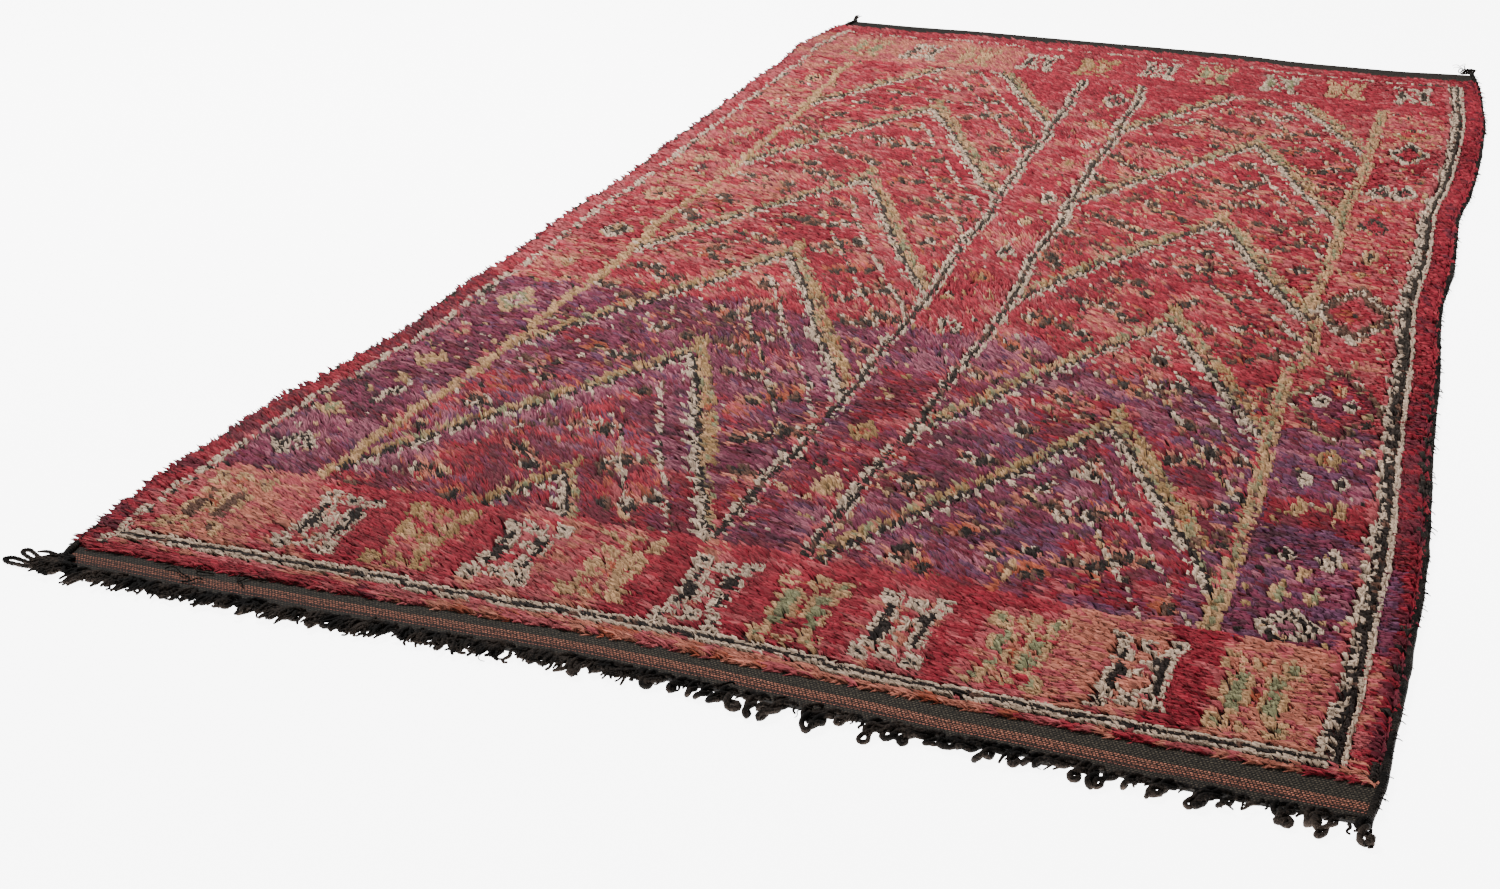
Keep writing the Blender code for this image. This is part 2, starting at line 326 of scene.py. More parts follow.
# the ground: reds in the upper two thirds, purples below, where the dyer ran out
pale = 0.3 * clouds(0.28, 12) + 0.2 * clouds(0.05, 13) - 1.4 * share + 0.35
lay(pale > 0.1, blend, crimson=10, red=33, rose=35, salmon=22)
lay((pale > 0.1) & (along_m > 2.3), blend, crimson=4, red=26, rose=38, salmon=32)
lay(pale < -0.75, blend, wine=3, crimson=30, red=43, rose=14, salmon=10)
lay((share > SIDE_BAND) & (column < RIGHT_GUARD), blend, crimson=14, red=38, rose=28, salmon=20)
ragged = 0.035 * clouds(0.13, 3) + 0.02 * clouds(0.035, 4)
purple_from = np.interp(
    share, [0, 0.34, 0.46, 0.54, 0.62, 0.7, 0.85, 0.87, 1], [1.23, 1.21, 1.21, 1.22, 1.19, 1.12, 1.12, 1.02, 1.04]
)
purples = along_m + ragged < purple_from
lay(purples, blend, plum=8, wine=14, purple=48, violet=8, mauve=22)
deep = purples & (share + 0.12 * clouds(0.1, 9) > 0.66)
lay(deep, blend, plum=12, violet=30, purple=30, wine=14, mauve=14)
warm = purples & (clouds(0.15, 6) + 0.5 * clouds(0.05, 7) > 0.22) & (along_m < 1.02)
lay(warm & (share > 0.12) & (share < 0.84), blend, wine=34, purple=24, crimson=32, rose=10)

# chevrons: two stacks of nested arms between upright lines, with small eyes inside each
ARM_SLOPE = 2.1
WORN_OUT = {"i": 0.22, "y": 0.24, "g": 0.24}  # share of a figure's pale knots that are gone
EYE_TURNS = (0.195, 0.275, 0.355, 0.435, 0.515, 0.595)  # metres below the arm's edge
EYE_STEPS = np.arange(0.0, 0.36, 0.058)  # metres to the side of the peak
EYES = (
    ".si. ikkk ikks .ii.", ".ss. skkk ikks .ii.", ".yy. skky skkk .ss.",
    ".oo. okko okks .bk.", ".bb. bkkb bkkb .ss.", ".ssi. skkki ikbks skkks .sis.",
    ".bis. ikkkb skkks ikkki .sib.", ".iis. bkkks ikkki .ski.",
)
left_line = np.interp(along_m, [0.45, 1.0, 1.75, 2.5, 2.95], [25.5, 24.0, 23.3, 22.7, 19.6])
right_line = np.interp(along_m, [0.45, 1.26, 1.33, 1.8, 2.95], [168.8, 168.6, 171.3, 170.8, 169.6])
middle_left = np.interp(along_m, [0.45, 1.35, 3.1], [93.6, 94.0, 88.0])
middle_right = np.interp(along_m, [0.45, 1.35, 3.1], [108.2, 110.8, 105.4])
# each stack's bounding columns and its peaks, by share of the width and metres along
left_peaks = ((0.315, 0.515), (0.298, 1.018), (0.297, 1.555), (0.291, 2.075), (0.286, 2.68), (0.287, 3.22))
right_peaks = ((0.727, 0.968), (0.736, 1.46), (0.736, 2.055), (0.729, 2.66), (0.714, 3.22))
in_field = (row >= BORDER_ROWS) & (along_m < FIELD_END)
uneven_hand = 0.006 * clouds(0.06, 41)


def figure(shape, wools, middle, lowest, where=None):
    """Knots one figure round its middle column, up from its lowest row."""
    for up, line in enumerate(reversed(shape)):
        for over, letter in enumerate(line):
            at = (int(lowest) + up, int(round(middle)) - len(line) // 2 + over)
            if letter in wools and (where is None or (at[0] < ROWS and where[at])):
                if spot[at] > WORN_OUT.get(letter, 0.0):
                    chart[at] = DYE[wools[letter]]


random = np.random.default_rng(19)
for from_column, to_column, peaks, reach_right in (
    (left_line, middle_left, left_peaks, -0.018),
    (middle_right, right_line, right_peaks, -0.032),
):
    depth = np.full(chart.shape, 9.0)
    out = np.zeros(chart.shape)
    for peak_share, peak_along in peaks:
        beside = across_m - peak_share * WIDTH
        below = peak_along - along_m - np.abs(beside) * ARM_SLOPE + uneven_hand
        nearer = (below > -0.05) & (below < depth)
        depth[nearer], out[nearer] = below[nearer], beside[nearer]
    here = in_field & (column > from_column) & (column < to_column)
    inside = here & within(depth, 0.155, 8)
    patch = inside & (clouds(0.045, 64) > 0.1) & (spot < np.where(share > 0.5, 0.36, 0.30))
    lay(patch, small_knots, salmon=15, wine=24, orange=17, brown=34, tan=10)
    warm = here & within(depth, 0.205, 8) & (along_m < 0.80) & (share < 0.42) & (lot < 0.6)
    lay(warm, blend, wine=22, red=40, orange=18, rose=20)
    # eyes in rows that run down with the arms, every other row half a step over
    for peak, side, (turn, down), away in product(peaks, (-1, 1), enumerate(EYE_TURNS), EYE_STEPS):
        if random.random() < 0.20:
            continue
        off = away + (0.029 if turn % 2 else 0.004) + random.uniform(-0.006, 0.006)
        middle = (peak[0] * WIDTH + side * off) / WIDTH * COLUMNS
        lowest = (peak[1] - off * ARM_SLOPE - down - 0.045 - NEAR_BAND) / row_step
        if BORDER_ROWS < lowest < ROWS:
            figure(EYES[random.integers(len(EYES))].split(), LETTERS, middle, lowest, inside)
    lay(inside & (chart == DYE["black"]) & (small_knots < 0.22), "brown")
    lay(inside & (chart == DYE["ivory"]) & (small_knots > 0.80), "salmon")
    # thin lines inside the arms, fainter on the left ones, and a row of ticks
    left_arm = out < 0
    faint = np.where(left_arm, 0.35, 1.0)
    for low, high, strength, wools in (
        (0.300, 0.311, 0.70, {"black": 65, "ivory": 35}),
        (0.311, 0.322, 0.60, {"ivory": 60, "tan": 40}),
        (0.165, 0.175, 0.45, {"black": 50, "brown": 50}),
        (0.175, 0.187, 0.95, {"ivory": 84, "salmon": 16}),
    ):
        lay(here & within(depth, low, high) & (spot < strength * faint), small_knots, **wools)
    lay(here & (row % 3 == 0) & within(depth, 0.078, 0.106) & (lot < 0.75), "ivory")
    lay(here & within(depth, -0.040, 0) & (np.abs(out) < 0.012) & (along_m > 0.56), "gold")
    # the arms: a tan band outside, gold in the two nearest chevrons, then a black line and a white one
    golden = clouds(0.16, 61) + 1.6 * (1.35 - along_m)
    tan_from = np.where(left_arm, -0.008, np.where(along_m < 0.56, 0.016, reach_right))
    black_from = np.where(left_arm, 0.036, 0.040)
    white_from = np.where(left_arm, 0.056, 0.060)
    white_to = np.where(left_arm, np.where(along_m < 1.3, 0.067, 0.073), 0.0765)
    tan_band = here & within(depth, tan_from, black_from)
    lay(tan_band & (small_knots > 0.10), spot, tan=34, khaki=30, salmon=10, gold=8, green=8, brown=10)
    golden_band = tan_band & (depth < 0.019) & (golden > 0) & (spot < 0.8)
    lay(golden_band, small_knots, gold=54, khaki=18, tan=16, orange=12)
    core_spot = np.where(left_arm & (along_m > 1.9), spot, spot * 0.7)
    lay(here & within(depth, black_from, white_from), core_spot, black=74, brown=18, khaki=8)
    lay(here & within(depth, white_from, white_to) & (small_knots > 0.06), "ivory")

# upright lines beside the stacks, each one knot wide for every wool it has
dark_core = mixed(spot, black=88, brown=12)
fade = spot + 0.20 * (along_m < 1.4)
small_fade = small_knots + 0.25 * (along_m < 1.4)
middle_wools = (mixed(fade, ivory=80, rose=20), dark_core, mixed(small_fade, ivory=72, rose=28))
left_wools = (mixed(spot, tan=60, gold=15, rose=25), mixed(lot, tan=70, gold=30))
right_wools = (
    mixed(spot, tan=60, rose=20, red=20),
    mixed(lot, green=22, khaki=34, tan=28, brown=10, gold=6),
    mixed(small_knots, tan=60, gold=12, salmon=28),
)
for line, wools in (
    (left_line, left_wools),
    (right_line + 1, right_wools),
    (middle_left, middle_wools),
    (middle_right, middle_wools),
):
    first = np.round(line - len(wools) / 2)
    for number, wool in enumerate(wools):
        lay(in_field & (column == first + number), wool)

# lozenges and hooks in the narrow bands: share of the width, metres along, half width, half
# length, and their rings of wool from the outside in (x and z are mottled)
LOZENGES = (
    (0.918, 2.82, 0.045, 0.055, "dror"), (0.918, 2.66, 0.047, 0.100, "ikrrr"),
    (0.905, 2.34, 0.030, 0.060, "ike"), (0.932, 2.34, 0.030, 0.060, "ike"),
    (0.918, 2.22, 0.030, 0.030, "or"), (0.912, 2.09, 0.030, 0.060, "krr"),
    (0.915, 1.90, 0.014, 0.060, "yk"), (0.915, 1.79, 0.030, 0.042, "eod"),
    (0.920, 1.57, 0.082, 0.160, "xxberrer"), (0.918, 1.56, 0.022, 0.040, "oc"),
    (0.918, 1.14, 0.080, 0.165, "zwrppwp"), (0.902, 1.15, 0.017, 0.036, "ik"),
    (0.930, 1.14, 0.017, 0.036, "ik"), (0.948, 1.07, 0.017, 0.036, "ek"),
    (0.918, 1.20, 0.014, 0.026, "yo"), (0.918, 0.925, 0.026, 0.032, "do"),
    (0.902, 0.84, 0.012, 0.034, "ik"), (0.932, 0.84, 0.012, 0.034, "ik"),
    (0.902, 0.745, 0.013, 0.038, "yd"), (0.934, 0.745, 0.013, 0.038, "yd"),
    (0.902, 0.59, 0.014, 0.036, "ik"), (0.936, 0.59, 0.014, 0.036, "ik"),
    (0.918, 0.535, 0.011, 0.030, "yd"), (0.905, 0.475, 0.013, 0.030, "yg"),
    (0.931, 0.475, 0.013, 0.030, "yg"), (0.918, 0.385, 0.048, 0.055, "ikimk"),
    (0.070, 0.43, 0.040, 0.048, "ikim"), (0.058, 0.57, 0.018, 0.030, "yg"),
    (0.084, 0.66, 0.014, 0.050, "ik"), (0.072, 0.80, 0.030, 0.035, "ydo"),
    (0.060, 0.93, 0.020, 0.030, "ey"), (0.076, 1.10, 0.034, 0.065, "ygim"),
    (0.070, 1.33, 0.030, 0.050, "sy"), (0.080, 1.53, 0.034, 0.045, "iky"),
    (0.072, 1.78, 0.040, 0.060, "ysk"), (0.080, 1.97, 0.014, 0.035, "kw"),
    (0.070, 2.05, 0.022, 0.030, "yk"), (0.078, 2.28, 0.030, 0.055, "sye"),
    (0.074, 2.55, 0.028, 0.050, "yes"), (0.080, 2.80, 0.024, 0.040, "yke"),
    (0.512, 2.86, 0.034, 0.075, "ikek"), (0.516, 2.62, 0.026, 0.040, "yo"),
    (0.520, 2.44, 0.016, 0.030, "ik"), (0.520, 2.28, 0.022, 0.045, "sd"),
    (0.525, 2.02, 0.022, 0.050, "ik"), (0.520, 1.86, 0.014, 0.032, "yk"),
    (0.525, 1.66, 0.020, 0.050, "ike"), (0.520, 1.50, 0.026, 0.040, "od"),
    (0.512, 1.25, 0.013, 0.030, "ik"), (0.530, 1.23, 0.013, 0.030, "ik"),
    (0.518, 0.76, 0.024, 0.040, "do"), (0.506, 0.62, 0.013, 0.030, "kw"),
    (0.528, 0.56, 0.020, 0.040, "yd"), (0.706, 0.40, 0.009, 0.075, "oy"),
)
ring_wools = {
    **LETTERS,
    "x": mixed(small_knots, ivory=40, black=30, brown=30),
    "z": mixed(small_knots, ivory=18, brown=44, khaki=38),
}
for centre, at, half_width, half_length, rings in LOZENGES:
    size = np.abs(share - centre) * WIDTH / half_width + np.abs(along_m - at) / half_length
    ring = np.floor((1 - size) * len(rings)).astype(int)
    for number, letter in enumerate(rings):
        lay((size < 1) & (ring == number) & (spot > 0.06), ring_wools[letter])
in_bands = (share < 0.12) | ((share > 0.487) & (share < 0.545)) | (share > 0.88)
lay(in_field & in_bands & (spot < 0.055), yarn_lots(90, 0.0), tan=40, ivory=20, black=20, gold=20)

# right side band and the strips outside the guard lines change colour down their length
purple_wools = np.isin(chart, [DYE[name] for name in ("purple", "violet", "plum", "mauve", "wine")])
crimson_belt = (share > SIDE_BAND) & purple_wools & within(along_m + ragged, 0.655, 0.775)
lay(crimson_belt, blend, wine=26, crimson=52, red=22)
SECOND_WOOL = {"crimson": "red", "wine": "crimson", "rose": "red", "purple": "violet"}
for strip, changes in (
    (column < 5, ((0.40, "crimson"), (0.61, "wine"), (0.78, "crimson"), (1.22, "wine"), (4.0, "rose"))),
    (column > GUARD_END, ((0.36, "crimson"), (0.60, "purple"), (1.20, "wine"), (4.0, "crimson"))),
):
    start = 0.0
    for end, wool in changes:
        lay(strip & within(along_m, start, end), lot, **{wool: 62, SECOND_WOOL[wool]: 38})
        start = end

# the two borders: a row of H-shaped figures, white and black in turn with yellow and green
NIGHT = """
iii.....iii
iki.iii.iki
iii.iki.iii
.ii.iii.ii.
.iki...iki.
.iki..ikki.
.iki.iikki.
.iki.i.iki.
.ikkii.iki.
.ikkii.iki.
.ikki..iki.
.iki.i.iki.
.iki..iiki.
.ii.iii.ii.
iii.iki.iii
iki.iii.iki
iii.....iii
""".split()
DAY = """
yy..yyy..yy
ygy.yoy.ygy
ygy.yoy.ygy
yyy..y..yyy
..yy...yy..
.yggy.yggy.
.yggy.yggy.
.yggy.yggy.
.yggyoyggy.
.yggyoyggy.
.yggy.yggy.
.yggyoyggy.
..gg...gg..
..yy...yy..
yyy..y..yyy
ygy.yoy.ygy
yyy.yyy.yyy
""".split()
soft_edge = 1.2 * clouds(0.03, 70)
near_border = row < BORDER_ROWS
lay(near_border, lot, rose=52, salmon=26, red=22)
for from_row, softness, spans, wools in (
    (
        4, 1, ((38, 47), (57, 62), (85, 94), (99, 122), (133, 139), (165, 173)),
        {"crimson": 52, "red": 40, "rose": 8},
    ),
    (23, 3, ((32, 61), (112, 163)), {"crimson": 60, "red": 40}),
    (4, 1, ((10, 26), (150, 165), (174, 189)), {"salmon": 66, "rose": 34}),
):
    for first, last in spans:
        lay(near_border & (row >= from_row) & within(column + soft_edge * softness, first, last), lot, **wools)
front = row < 2
lay(near_border & (column < 5), blend, wine=30, crimson=45, red=25)
lay(front, blend, wine=10, red=28, rose=42, salmon=20)
lay(front & (column + 3 * soft_edge < 46), lot, crimson=70, red=30)
lay(front & (column + 3 * soft_edge > 62) & (column < 150), blend, rose=30, orange=12, salmon=58)
far_border = along_m > FIELD_END
lay(far_border, lot, red=56, crimson=22, rose=22)
lay(far_border & (share < 0.34) & (row < 309), lot, salmon=55, rose=45)

GOLDEN = {**LETTERS, "y": "gold", "g": "tan"}
PLAIN = {**LETTERS, "g": "tan"}
WORN = {**LETTERS, "g": "brown"}
GREY = {**LETTERS, "k": "green"}
for unevens, unusual, start, spacing, lowest in (
    ((-3, 0, 0, 0, 0, 0, -1, -2, -1, 0, 0), {0: WORN, 2: GOLDEN, 4: PLAIN}, 17.5, 16.05, (7, 5)),
    ((-3, -4, -5, -3, -4, -3, -4, -3, -2, -1), {2: PLAIN, 4: GOLDEN, 7: GREY, 8: PLAIN}, 23.5, 17.3, (288, 291)),
):
    for number, uneven in enumerate(unevens):
        shape = NIGHT if number % 2 else DAY
        middle = start + spacing * number + uneven
        figure(shape, unusual.get(number, LETTERS), middle, lowest[number >= 5])

# the guard lines round the field: white, black and white knots, half buried down the sides
left_guard = np.round(np.interp(along_m, [0.07, 0.35], [3.4, 5.0]))
buried_guard = (mixed(spot, ivory=82, rose=18), mixed(spot, rose=62, ivory=8, black=30))
wide_core = along_m < 2.2
right_guard = (
    np.where(wide_core, mixed(spot, ivory=60, rose=40), mixed(spot, rose=78, ivory=22)),
    np.where(wide_core, mixed(lot, black=62, ivory=38), mixed(spot, ivory=82, black=18)),
    dark_core,
    "ivory",
)
for first, wools in ((left_guard, buried_guard), (RIGHT_GUARD, right_guard)):
    for number, wool in enumerate(wools):
        lay((row > 0) & (row < LAST_GUARD_ROW) & (column == first + number), wool)
# darker knots in the last column: painted shadow along the right edge of the pile
lay((column == COLUMNS - 1) & (row > 0), spot, wine=50, black=15, crimson=35)
lay((column > GUARD_END) & (along_m > 1.25), spot, wine=14, crimson=56, red=30)
# darker knots in the first column: painted shadow along the left edge of the pile
lay((column == 0) & (row > 0), spot, wine=55, black=25, crimson=20)
stepped = share + 0.03 * cloudy(across_m, along_m * 0, 0.05, 71)
climb = (stepped < 0.64).astype(int) + (stepped < 0.28)  # the near line steps up towards the left
for number, wool in enumerate((mixed(spot, ivory=88, rose=12), dark_core, "ivory")):
    lay((row == 1 + climb + number) & (column >= 4 + number) & (column <= GUARD_END - number), wool)
lay((row == LAST_GUARD_ROW) & (column > 5) & (column < GUARD_END) & (spot < 0.6), "ivory")
lay((row == LAST_GUARD_ROW - 1) & (column > 178) & (column < GUARD_END), "black")

# ------------------------------
# The pile: hand-spun wool, knotted on pairs of warps and cut about 2 cm long. Years of feet
# have laid it over towards the left, in soft locks that part and swirl.
STRANDS_TO_A_KNOT = 2.2
LINE_STRANDS = 3.9  # to a knot of the lines, whose springy undyed wool stands up and shows each knot
EDGE_STRANDS = 6  # more, to a knot at a cut edge
PILE_LENGTH = 0.0275  # what lies over, from root to tip
PILE_RISE = 0.0140
ROOT_HEIGHT = 0.0036
STRAND_WIDTH = 0.0024
LINE_WIDTH = 0.0026
UNDER_WIDTH = 0.0064  # the dense part of each knot, down between the strands
LOCK_SIZE = 0.030
LOCK_PULL = 0.22  # how far the tips draw together
EDGE_HANG = 0.012
TWIST = 1.5  # mm between the spun yarn's fibres, drawn coarse so that they show
# pale pink mixed into the tips: dust, and painted sheen
TIP_DUST_AND_SHEEN = "#d9b3a4"
PILE_STRIPS = 5

random = np.random.default_rng(11)
knots_at = np.stack(on_rug(share.ravel(), (along_m / RUG_LENGTH).ravel()))
dyes = np.array([linear(code)[:3] for code in WOOL.values()])
black, ivory = chart == DYE["black"], chart == DYE["ivory"]
undyed = ivory | black
standing = undyed | np.isin(chart, [DYE[name] for name in ("brown", "tan", "gold", "green")])

# which knot each tuft belongs to, and its kind: down in the pile, on top of it, or on a cut edge;
# the rows further from the near end have fewer and wider tufts
UNDER, TOP, EDGE = 0, 1, 2
crowd = np.interp(row, [0, 30, 60, 120, 200, ROWS], [2.0, 1.7, 1.15, 0.80, 0.58, 0.46])
mean_strands = (np.where(standing, LINE_STRANDS, STRANDS_TO_A_KNOT) * crowd).ravel()
strands = (mean_strands + random.random(row.size)).astype(int)
edge_knots = np.flatnonzero(((row == 0) | (row == ROWS - 1) | (column == 0) | (column == COLUMNS - 1)).ravel())
every_knot = np.arange(row.size)
knot = np.concatenate([every_knot, np.repeat(every_knot, strands), np.repeat(edge_knots, EDGE_STRANDS)])
kind = np.repeat([UNDER, TOP, EDGE], [row.size, strands.sum(), EDGE_STRANDS * len(edge_knots)])
order = np.argsort(knot, kind="stable")
knot, kind = knot[order], kind[order]
count = len(knot)


def of_knots(values):
    """What each tuft takes from its knot's place in the chart."""
    return values.ravel()[knot]


tuft_row, tuft_column, knot_dye = of_knots(row), of_knots(column), of_knots(chart)
springy, stands = of_knots(undyed), of_knots(standing)
pale_dyes = stands & ~springy
is_black = knot_dye == DYE["black"]
under = kind == UNDER


def in_metres(over, up):
    """Columns and rows of the chart, as metres across and along."""
    return np.stack([over * WIDTH / COLUMNS, up * row_step])


def by_row(rows, values):
    return np.interp(tuft_row, rows, values)


def by_column(columns, values):
    return np.interp(tuft_column, columns, values)


def by_wool(for_black, for_ivory, for_pale, for_others):
    return np.where(is_black, for_black, np.where(springy, for_ivory, np.where(pale_dyes, for_pale, for_others)))


# roots: the white knots of a line close up to its black ones
scatter = by_wool(0.42, 0.22, 0.36, 0.42)
close_x = ivory * (0.24 * np.roll(black, -1, 1) - 0.10 * np.roll(black, 1, 1))
close_y = ivory * np.where(row < 10, 0.34, 0.20) * (1.0 * np.roll(black, -1, 0) - np.roll(black, 1, 0))
over, up = random.uniform(-1, 1, (2, count)) * scatter + np.stack([of_knots(close_x), of_knots(close_y)])
root = knots_at[:, knot] + in_metres(over, up)

# how each lies: its heading, length and rise; the pile is calm and trodden flat at the near edge,
# and shorter towards the right, and its undyed wool stands up
degrees = (
    by_column([0, 60, 100, 140, 170, COLUMNS], [160, 152, 142, 150, 180, 186])
    + by_row([0, 5, 24, ROWS], [22, 18, 0, 0]) * (tuft_column < 160)
)
calm = by_row([0, 4, 22, 40, ROWS], [0.2, 0.3, 0.7, 1.0, 1.0])
swirl = calm * (0.42 * cloudy(*root, 0.30, 21) + 0.38 * cloudy(*root, 0.09, 22))
heading = np.radians(degrees) + swirl + random.normal(0, 0.11, count)
length = PILE_LENGTH * (1 + 0.14 * cloudy(*root, 0.04, 23) + random.normal(0, 0.14, count))
rise = PILE_RISE * (1 + 0.10 * cloudy(*root, 0.05, 24) + random.normal(0, 0.07, count))
length[under] *= 0.70
rise[under] *= np.where(knot_dye[under] == DYE["ivory"], 0.90, 0.80)
rise *= by_row([0, 4, 9], [0.52, 0.58, 1.0])
length *= by_column([0, 4, 110, 150, COLUMNS], [0.6, 1.0, 1.0, 0.78, 0.62])
over_the_core = of_knots(ivory & np.roll(black, 1, 1))  # these would lie over the black line
length *= by_wool(0.38, np.where(over_the_core, 0.26, 0.38), 0.42, 1.0)
rise *= by_wool(1.06, 1.07, 1.10, 1.0)

# locks: tips draw together towards the middle of their lock
lock = np.round(root / LOCK_SIZE).astype(int)
lock_shift = np.random.default_rng(29).uniform(-0.42, 0.42, (256, 256, 2)) * LOCK_SIZE
nearest, pull = np.full(count, 9.0), np.zeros((2, count))
for neighbour in product((-1, 0, 1), repeat=2):
    i, j = lock + np.array(neighbour)[:, None]
    to_middle = np.stack([i, j]) * LOCK_SIZE + lock_shift[i % 256, j % 256].T - root
    far_off = np.hypot(*to_middle)
    closer = far_off < nearest
    nearest, pull = np.where(closer, far_off, nearest), np.where(closer, to_middle, pull)
over = np.stack([np.cos(heading), np.sin(heading)]) * length + LOCK_PULL * pull
rise = rise * (1.06 - 0.18 * np.clip(nearest / LOCK_SIZE / 0.6, 0, 1))

# a tuft that would lie over a line or a figure stops short of it
kept = np.ones(count)
for part in (1.0, 0.7, 0.4):
    at_row = np.clip(np.round(tuft_row + over[1] * part / row_step), 0, ROWS - 1).astype(int)
    at_column = np.clip(np.round(tuft_column + over[0] * part / (WIDTH / COLUMNS)), 0, COLUMNS - 1).astype(int)
    hides = standing[at_row, at_column] & ~stands & (random.random(count) < 0.68)
    kept[hides] = part - 0.2
over = over * kept

# in a line of one wool the dense parts of neighbouring knots close up
next_x, next_y = np.zeros((2, *chart.shape))
for x_step, y_step in ((-1, 0), (1, 1), (-1, 1), (0, 1)):
    same = undyed & (np.roll(chart, (-y_step, -x_step), (0, 1)) == chart)
    next_x[same], next_y[same] = x_step, y_step
in_line = under & of_knots((next_x != 0) | (next_y != 0))
toward = in_metres(of_knots(next_x), of_knots(next_y))
over = np.where(in_line, toward * 1.7, over)
root = root - 0.35 * toward * in_line

# the cut edges hang over the sides of the pile
on_edge = kind == EDGE
for is_edge, out in (
    (tuft_row == 0, (-1.0, -0.15)),
    (tuft_row == ROWS - 1, (-0.2, 0.6)),
    (tuft_column == 0, (-0.6, -0.1)),
    (tuft_column == COLUMNS - 1, (0.40, -0.5)),
):
    here = is_edge & on_edge
    over[:, here] = EDGE_HANG * np.array(out)[:, None] + random.normal(0, 0.004, (2, here.sum()))
rise = rise * np.where(on_edge, random.uniform(0.2, 0.95, count), 1.0)

# each tuft is a closed spindle: a root, two shoulders and a tip
reach = np.hypot(*over)
side = np.stack([-over[1], over[0]]) / reach
width = np.where(under, UNDER_WIDTH, np.where(stands, LINE_WIDTH, STRAND_WIDTH))
half = width / 2 * (1 + random.normal(0, 0.2, count))
half *= by_row([0, 30, 60, 120, 200, ROWS], [0.66, 0.72, 0.88, 1.04, 1.20, 1.32]) * np.where(
    in_line, by_row([0, 120, 200], [0.92, 0.74, 0.60]), 1.0
)
half *= np.where(springy & ~under, by_row([0, 60, 160], [1.0, 0.9, 0.76]), 1.0)
shoulder = random.uniform(0.34, 0.48, count)
droop = np.where(on_edge, 0.45, 0.97)


def at_height(flat, height):
    return np.column_stack([*flat, np.broadcast_to(height, count)])


tip = at_height(root + over, ROOT_HEIGHT + rise * droop)
middle = at_height(root + over * shoulder, ROOT_HEIGHT + rise * 0.93)
step = at_height(side * half, random.normal(0, 0.0005, count))
places = np.stack([at_height(root, ROOT_HEIGHT), middle - step, middle + step, tip], 1)
TUFT_FACES = np.array([[0, 1, 2], [3, 2, 1], [0, 2, 3], [0, 3, 1]])
# soft rounded shading, as a lock of many fibres has
lean, beside = (over / reach).T, side.T
soft = np.stack([-0.3 * lean, -0.6 * beside, 0.6 * beside, 0.3 * lean], 1)
soft = np.concatenate([soft, np.ones((count, 4, 1))], 2)
soft /= np.linalg.norm(soft, axis=2)[:, :, None]

# colour: painted shade in the depth of the pile, darkest on the under tufts, and a painted highlight at the tips,
# with dust and painted sheen mixed in there
lightness = (
    1
    + random.normal(0, 0.12, count)
    # one tuft in eight darker: painted shadow in the gaps between strands
    - 0.30 * (random.random(count) < 0.12)
    + 0.10 * cloudy(*root, 0.022, 30)
    + 0.12 * cloudy(*root, 0.06, 31)
    + 0.08 * cloudy(*root, 0.45, 32)
    # lighter towards the right: painted light on the side further from the lamp
    + np.interp(tuft_column / COLUMNS, [0, 0.5, 0.8, 1], [-0.02, 0, 0.10, 0.20])
    - 0.10 * by_row([0, 40, 90], [1, 1, 0]) * by_column([0, 90, 150], [1, 1, 0])
    + 0.04 * random.normal(0, 1, ROWS)[tuft_row]
)
colour = dyes[knot_dye] * np.clip(lightness, 0.5, 1.6)[:, None]
# black sheep's wool bleaches brown at the worn far end
bleached = by_row([0, 60, 140, ROWS], [0.0, 0.005, 0.026, 0.042]) * is_black
colour += bleached[:, None] * (1.0, 0.82, 0.62)
# painted shade at the roots and on the under tufts, painted highlight at the tips
depth_shade = np.where(under[:, None], [[0.30, 0.72, 0.72, 0.88]], [[0.35, 0.88, 0.88, 1.12]])
depth_shade = 1 + (depth_shade - 1) * by_row([0, 40, 110], [0.5, 0.7, 1.0])[:, None]
shaded = colour[:, None, :] * depth_shade[:, :, None]
# dust and painted sheen on the tips
dust_and_sheen = np.array([0.0, 0.01, 0.01, 0.05])[:, None] * random.uniform(0.2, 1.8, (count, 1, 1))
shaded = shaded * (1 - dust_and_sheen) + np.array(linear(TIP_DUST_AND_SHEEN)[:3]) * dust_and_sheen
shaded = np.clip(shaded, 0, 1)


def mesh_piece(name, places, faces, material):
    """A smooth piece from an array of places and an array of three-cornered faces."""
    places = np.ascontiguousarray(places, np.float32).reshape(-1, 3)
    faces = np.ascontiguousarray(faces, np.int32)
    mesh = bpy.data.meshes.new(name)
    mesh.vertices.add(len(places))
    mesh.vertices.foreach_set("co", places.ravel())
    mesh.loops.add(faces.size)
    mesh.loops.foreach_set("vertex_index", faces.ravel())
    mesh.polygons.add(len(faces))
    mesh.polygons.foreach_set("loop_start", np.arange(0, faces.size, 3, dtype=np.int32))
    mesh.polygons.foreach_set("use_smooth", np.ones(len(faces), bool))
    mesh.update(calc_edges=True)
    mesh.materials.append(material)
    piece = bpy.data.objects.new(name, mesh)
    bpy.context.scene.collection.objects.link(piece)
    return piece


def wool_material():
    """Hand-spun wool, cut and brushed by wear: many fine strands side by side, dull but with a
    soft sheen where they turn to the light."""
    material, tree, shader = new_material("hand_spun_wool")
    wool = add(tree, "Attribute", attribute_name="wool")
    strand = add(tree, "UVMap", uv_map="strand")
    narrow = add(tree, "VectorMath MULTIPLY", strand, (1 / TWIST, 0.12 / TWIST, 1))
    streak = add(tree, "TexNoise", noise_dimensions="2D", Scale=1.0, Detail=1.0, Vector=narrow)
    light = add(tree, "MapRange", streak, 0.28, 0.72, 0.55, 1.45)
    shade = add(tree, "VectorMath SCALE", wool, Scale=light)
    bump = add(tree, "Bump", Strength=0.5, Distance=0.0012, Height=streak)
    add(
        tree, shader, Base_Color=shade, Normal=bump,
        Roughness=0.82, Specular_IOR_Level=0.12, Sheen_Weight=0.04, Sheen_Roughness=0.5,
    )
    return material


